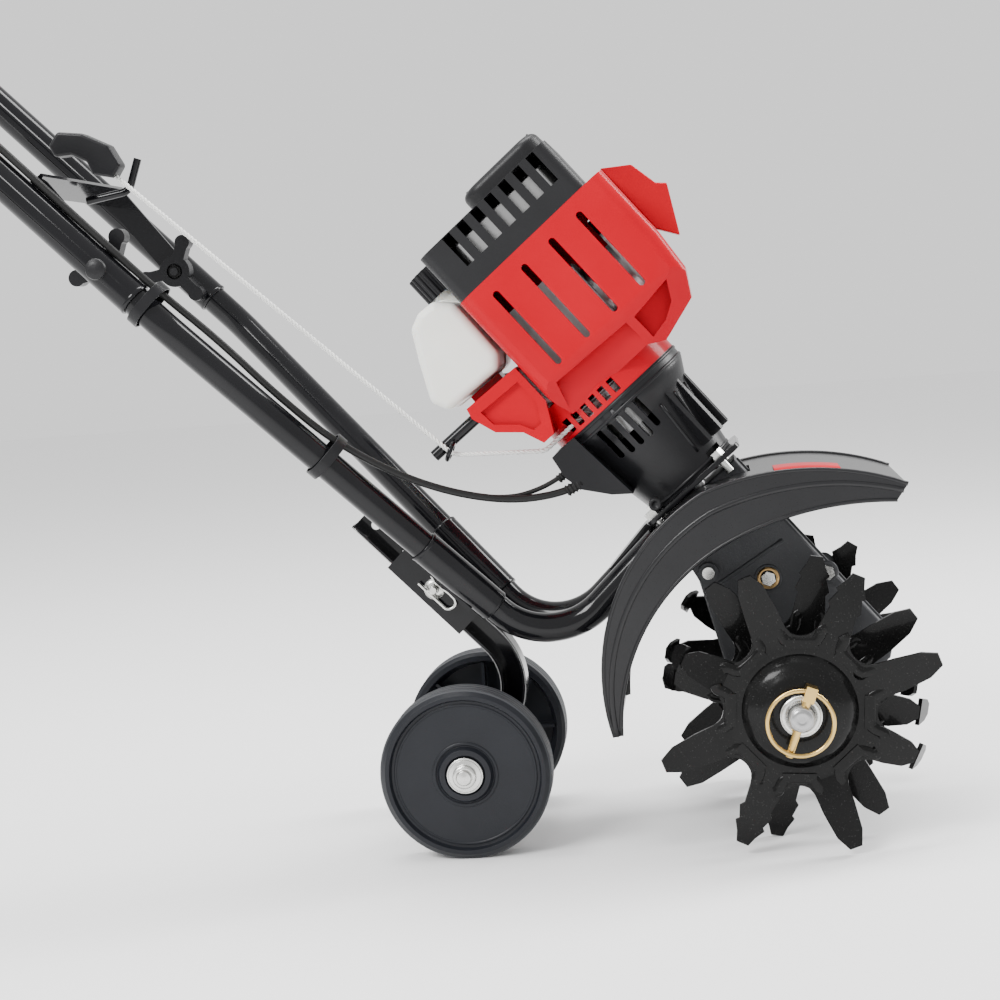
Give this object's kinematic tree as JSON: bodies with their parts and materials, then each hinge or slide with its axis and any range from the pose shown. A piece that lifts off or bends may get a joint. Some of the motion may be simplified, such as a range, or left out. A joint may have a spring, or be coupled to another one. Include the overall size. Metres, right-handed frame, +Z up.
{
  "type": "tiller",
  "caption": "Walk-behind petrol mini tiller with a small engine on a worm gearbox, star tines, depth wheels and bolted tube handles.",
  "frame": {"origin": "on the floor under the middle of the machine's length and width", "axes": "+X forward to the tines, +Y to the operator's left, +Z up"},
  "size_m": [1.0461, 0.3496, 0.8769],
  "materials": {
    "tube_black": "gloss black powder coat",
    "casting": "dark grey painted casting",
    "tine_black": "semi-gloss black on stamped steel",
    "plastic_black": "satin black moulding",
    "shroud_red": "gloss red moulding",
    "tank_white": "cloudy natural fuel tank",
    "grip_rubber": "soft black rubber",
    "wheel_plastic": "dark grey moulded wheel",
    "zinc": "bright zinc plate",
    "gold_zinc": "yellow zinc plate",
    "shaft_steel": "oiled steel",
    "aluminium": "as-cast aluminium",
    "bronze": "sintered bronze",
    "rope_white": "twisted nylon rope",
    "cable_black": "black cable sheath",
    "bulb_rubber": "translucent rubber bulb",
    "switch_red": "gloss red switch"
  },
  "bodies": {
    "chassis": {"lower_frame_left": "tube_black", "lower_frame_right": "tube_black", "depth_channel": "tube_black", "depth_pin": "zinc", "lower_handle_left": "tube_black", "lower_handle_right": "tube_black", "upper_handle_left": "tube_black", "upper_handle_right": "tube_black", "handle_grips": "grip_rubber", "handle_bolts": "zinc", "cross_brace": "tube_black", "mount_plate": "tube_black", "mount_bolts": "zinc", "gearbox_left": "casting", "gearbox_right": "casting", "shaft_bushes": "bronze", "guard": "plastic_black", "clutch_housing": "plastic_black", "starter_housing": "shroud_red", "engine_block": "aluminium", "engine_shroud": "shroud_red", "muffler_cover": "plastic_black", "muffler": "shaft_steel", "fuel_tank": "tank_white", "plug_guard": "shroud_red", "plug_boot": "grip_rubber", "carburettor": "aluminium", "air_filter_cover": "plastic_black", "casing_screws": "zinc", "rope_guides": "tube_black", "starter_rope": "rope_white", "throttle_housing": "plastic_black", "throttle_cable": "cable_black", "stop_lead": "cable_black", "cable_clips": "plastic_black"},
    "wheel_carriage": {"wheel_arm": "tube_black", "axle": "zinc"},
    "depth_wheel_left": {"wheel_left": "wheel_plastic"},
    "depth_wheel_right": {"wheel_right": "wheel_plastic"},
    "clip": {"hairpin_clip": "zinc"},
    "tine_rotor": {"tine_shaft": "shaft_steel", "worm_gear": "bronze", "tine_outer_right": "tine_black", "tine_inner_right": "tine_black", "tine_inner_left": "tine_black", "tine_outer_left": "tine_black", "lynch_pins": "gold_zinc"},
    "drive_line": {"drive_shaft": "shaft_steel"},
    "crank": {"crankshaft": "shaft_steel"},
    "ring_left": {"lynch_ring_left": "gold_zinc"},
    "ring_right": {"lynch_ring_right": "gold_zinc"},
    "star_knob_left": {"knob_left": "plastic_black"},
    "star_knob_right": {"knob_right": "plastic_black"},
    "tank_cap": {"fuel_cap": "plastic_black"},
    "trigger": {"throttle_trigger": "plastic_black"},
    "kill_switch": {"stop_switch": "switch_red"},
    "choke": {"choke_lever": "plastic_black"},
    "primer": {"primer_bulb": "bulb_rubber"},
    "pull_grip": {"starter_grip": "plastic_black"},
    "rope_pulley": {"recoil_pulley": "aluminium"}
  },
  "joints": [
    {"name": "depth_slide", "type": "slide", "parent": "chassis", "child": "wheel_carriage", "axis": [0.6833, 0, -0.7302], "range_m": [-0.022, 0.03]},
    {"name": "wheel_left_spin", "type": "hinge", "parent": "wheel_carriage", "child": "depth_wheel_left", "pos_m": [0.175, 0, 0.0635], "axis": [0, 1, 0], "continuous": true},
    {"name": "wheel_right_spin", "type": "hinge", "parent": "wheel_carriage", "child": "depth_wheel_right", "pos_m": [0.175, 0, 0.0635], "axis": [0, 1, 0], "continuous": true},
    {"name": "clip_pull", "type": "slide", "parent": "chassis", "child": "clip", "axis": [0.6833, 0, -0.7302], "range_m": [0, 0.025]},
    {"name": "tine_spin", "type": "hinge", "parent": "chassis", "child": "tine_rotor", "pos_m": [0.42, 0, 0.10355], "axis": [0, 1, 0], "continuous": true},
    {"name": "drive_spin", "type": "hinge", "parent": "chassis", "child": "drive_line", "pos_m": [0.354, 0, 0.2634], "axis": [-0.6293, 0, 0.7771], "continuous": true},
    {"name": "crank_spin", "type": "hinge", "parent": "chassis", "child": "crank", "pos_m": [0.354, 0, 0.2634], "axis": [-0.6293, 0, 0.7771], "continuous": true},
    {"name": "ring_left_swing", "type": "hinge", "parent": "tine_rotor", "child": "ring_left", "pos_m": [0.4272, 0.1339, 0.12222], "axis": [0.933, 0, -0.36], "range_deg": [0, 150]},
    {"name": "ring_right_swing", "type": "hinge", "parent": "tine_rotor", "child": "ring_right", "pos_m": [0.4272, -0.1339, 0.12222], "axis": [-0.933, 0, 0.36], "range_deg": [0, 150]},
    {"name": "knob_left_turn", "type": "hinge", "parent": "chassis", "child": "star_knob_left", "pos_m": [-0.054, 0.1103, 0.451], "axis": [0, 1, 0], "continuous": true},
    {"name": "knob_right_turn", "type": "hinge", "parent": "chassis", "child": "star_knob_right", "pos_m": [-0.054, -0.1103, 0.451], "axis": [0, 1, 0], "continuous": true},
    {"name": "cap_turn", "type": "hinge", "parent": "chassis", "child": "tank_cap", "pos_m": [0.16799, 0.025, 0.4216], "axis": [-0.6293, 0, 0.7771], "continuous": true},
    {"name": "trigger_squeeze", "type": "hinge", "parent": "chassis", "child": "trigger", "pos_m": [-0.38208, -0.12704, 0.77916], "axis": [0, 1, 0], "range_deg": [0, 12], "stiffness_Nm_per_rad": 0.8, "springref_deg": -11.46},
    {"name": "stop_slide", "type": "slide", "parent": "chassis", "child": "kill_switch", "axis": [-0.5217, -0.2462, 0.8168], "range_m": [0, 0.012]},
    {"name": "choke_turn", "type": "hinge", "parent": "chassis", "child": "choke", "pos_m": [0.25213, 0.095, 0.37649], "axis": [0, 1, 0], "range_deg": [0, 60]},
    {"name": "primer_press", "type": "slide", "parent": "chassis", "child": "primer", "axis": [0, -1, 0], "range_m": [0, 0.0025], "stiffness_N_per_m": 400, "springref_m": -0.001},
    {"name": "starter_pull", "type": "slide", "parent": "chassis", "child": "pull_grip", "axis": [-0.7322, 0.1167, 0.671], "range_m": [0, 0.45], "stiffness_N_per_m": 12, "springref_m": -0.3},
    {"name": "pulley_spin", "type": "hinge", "parent": "chassis", "child": "rope_pulley", "pos_m": [0.29673, 0, 0.33412], "axis": [-0.6293, 0, 0.7771], "continuous": true}
  ],
  "couplings": [
    {"joint": "drive_spin", "follows": "tine_spin", "ratio": 36},
    {"joint": "pulley_spin", "follows": "starter_pull", "rad_per_m": -27.624}
  ]
}
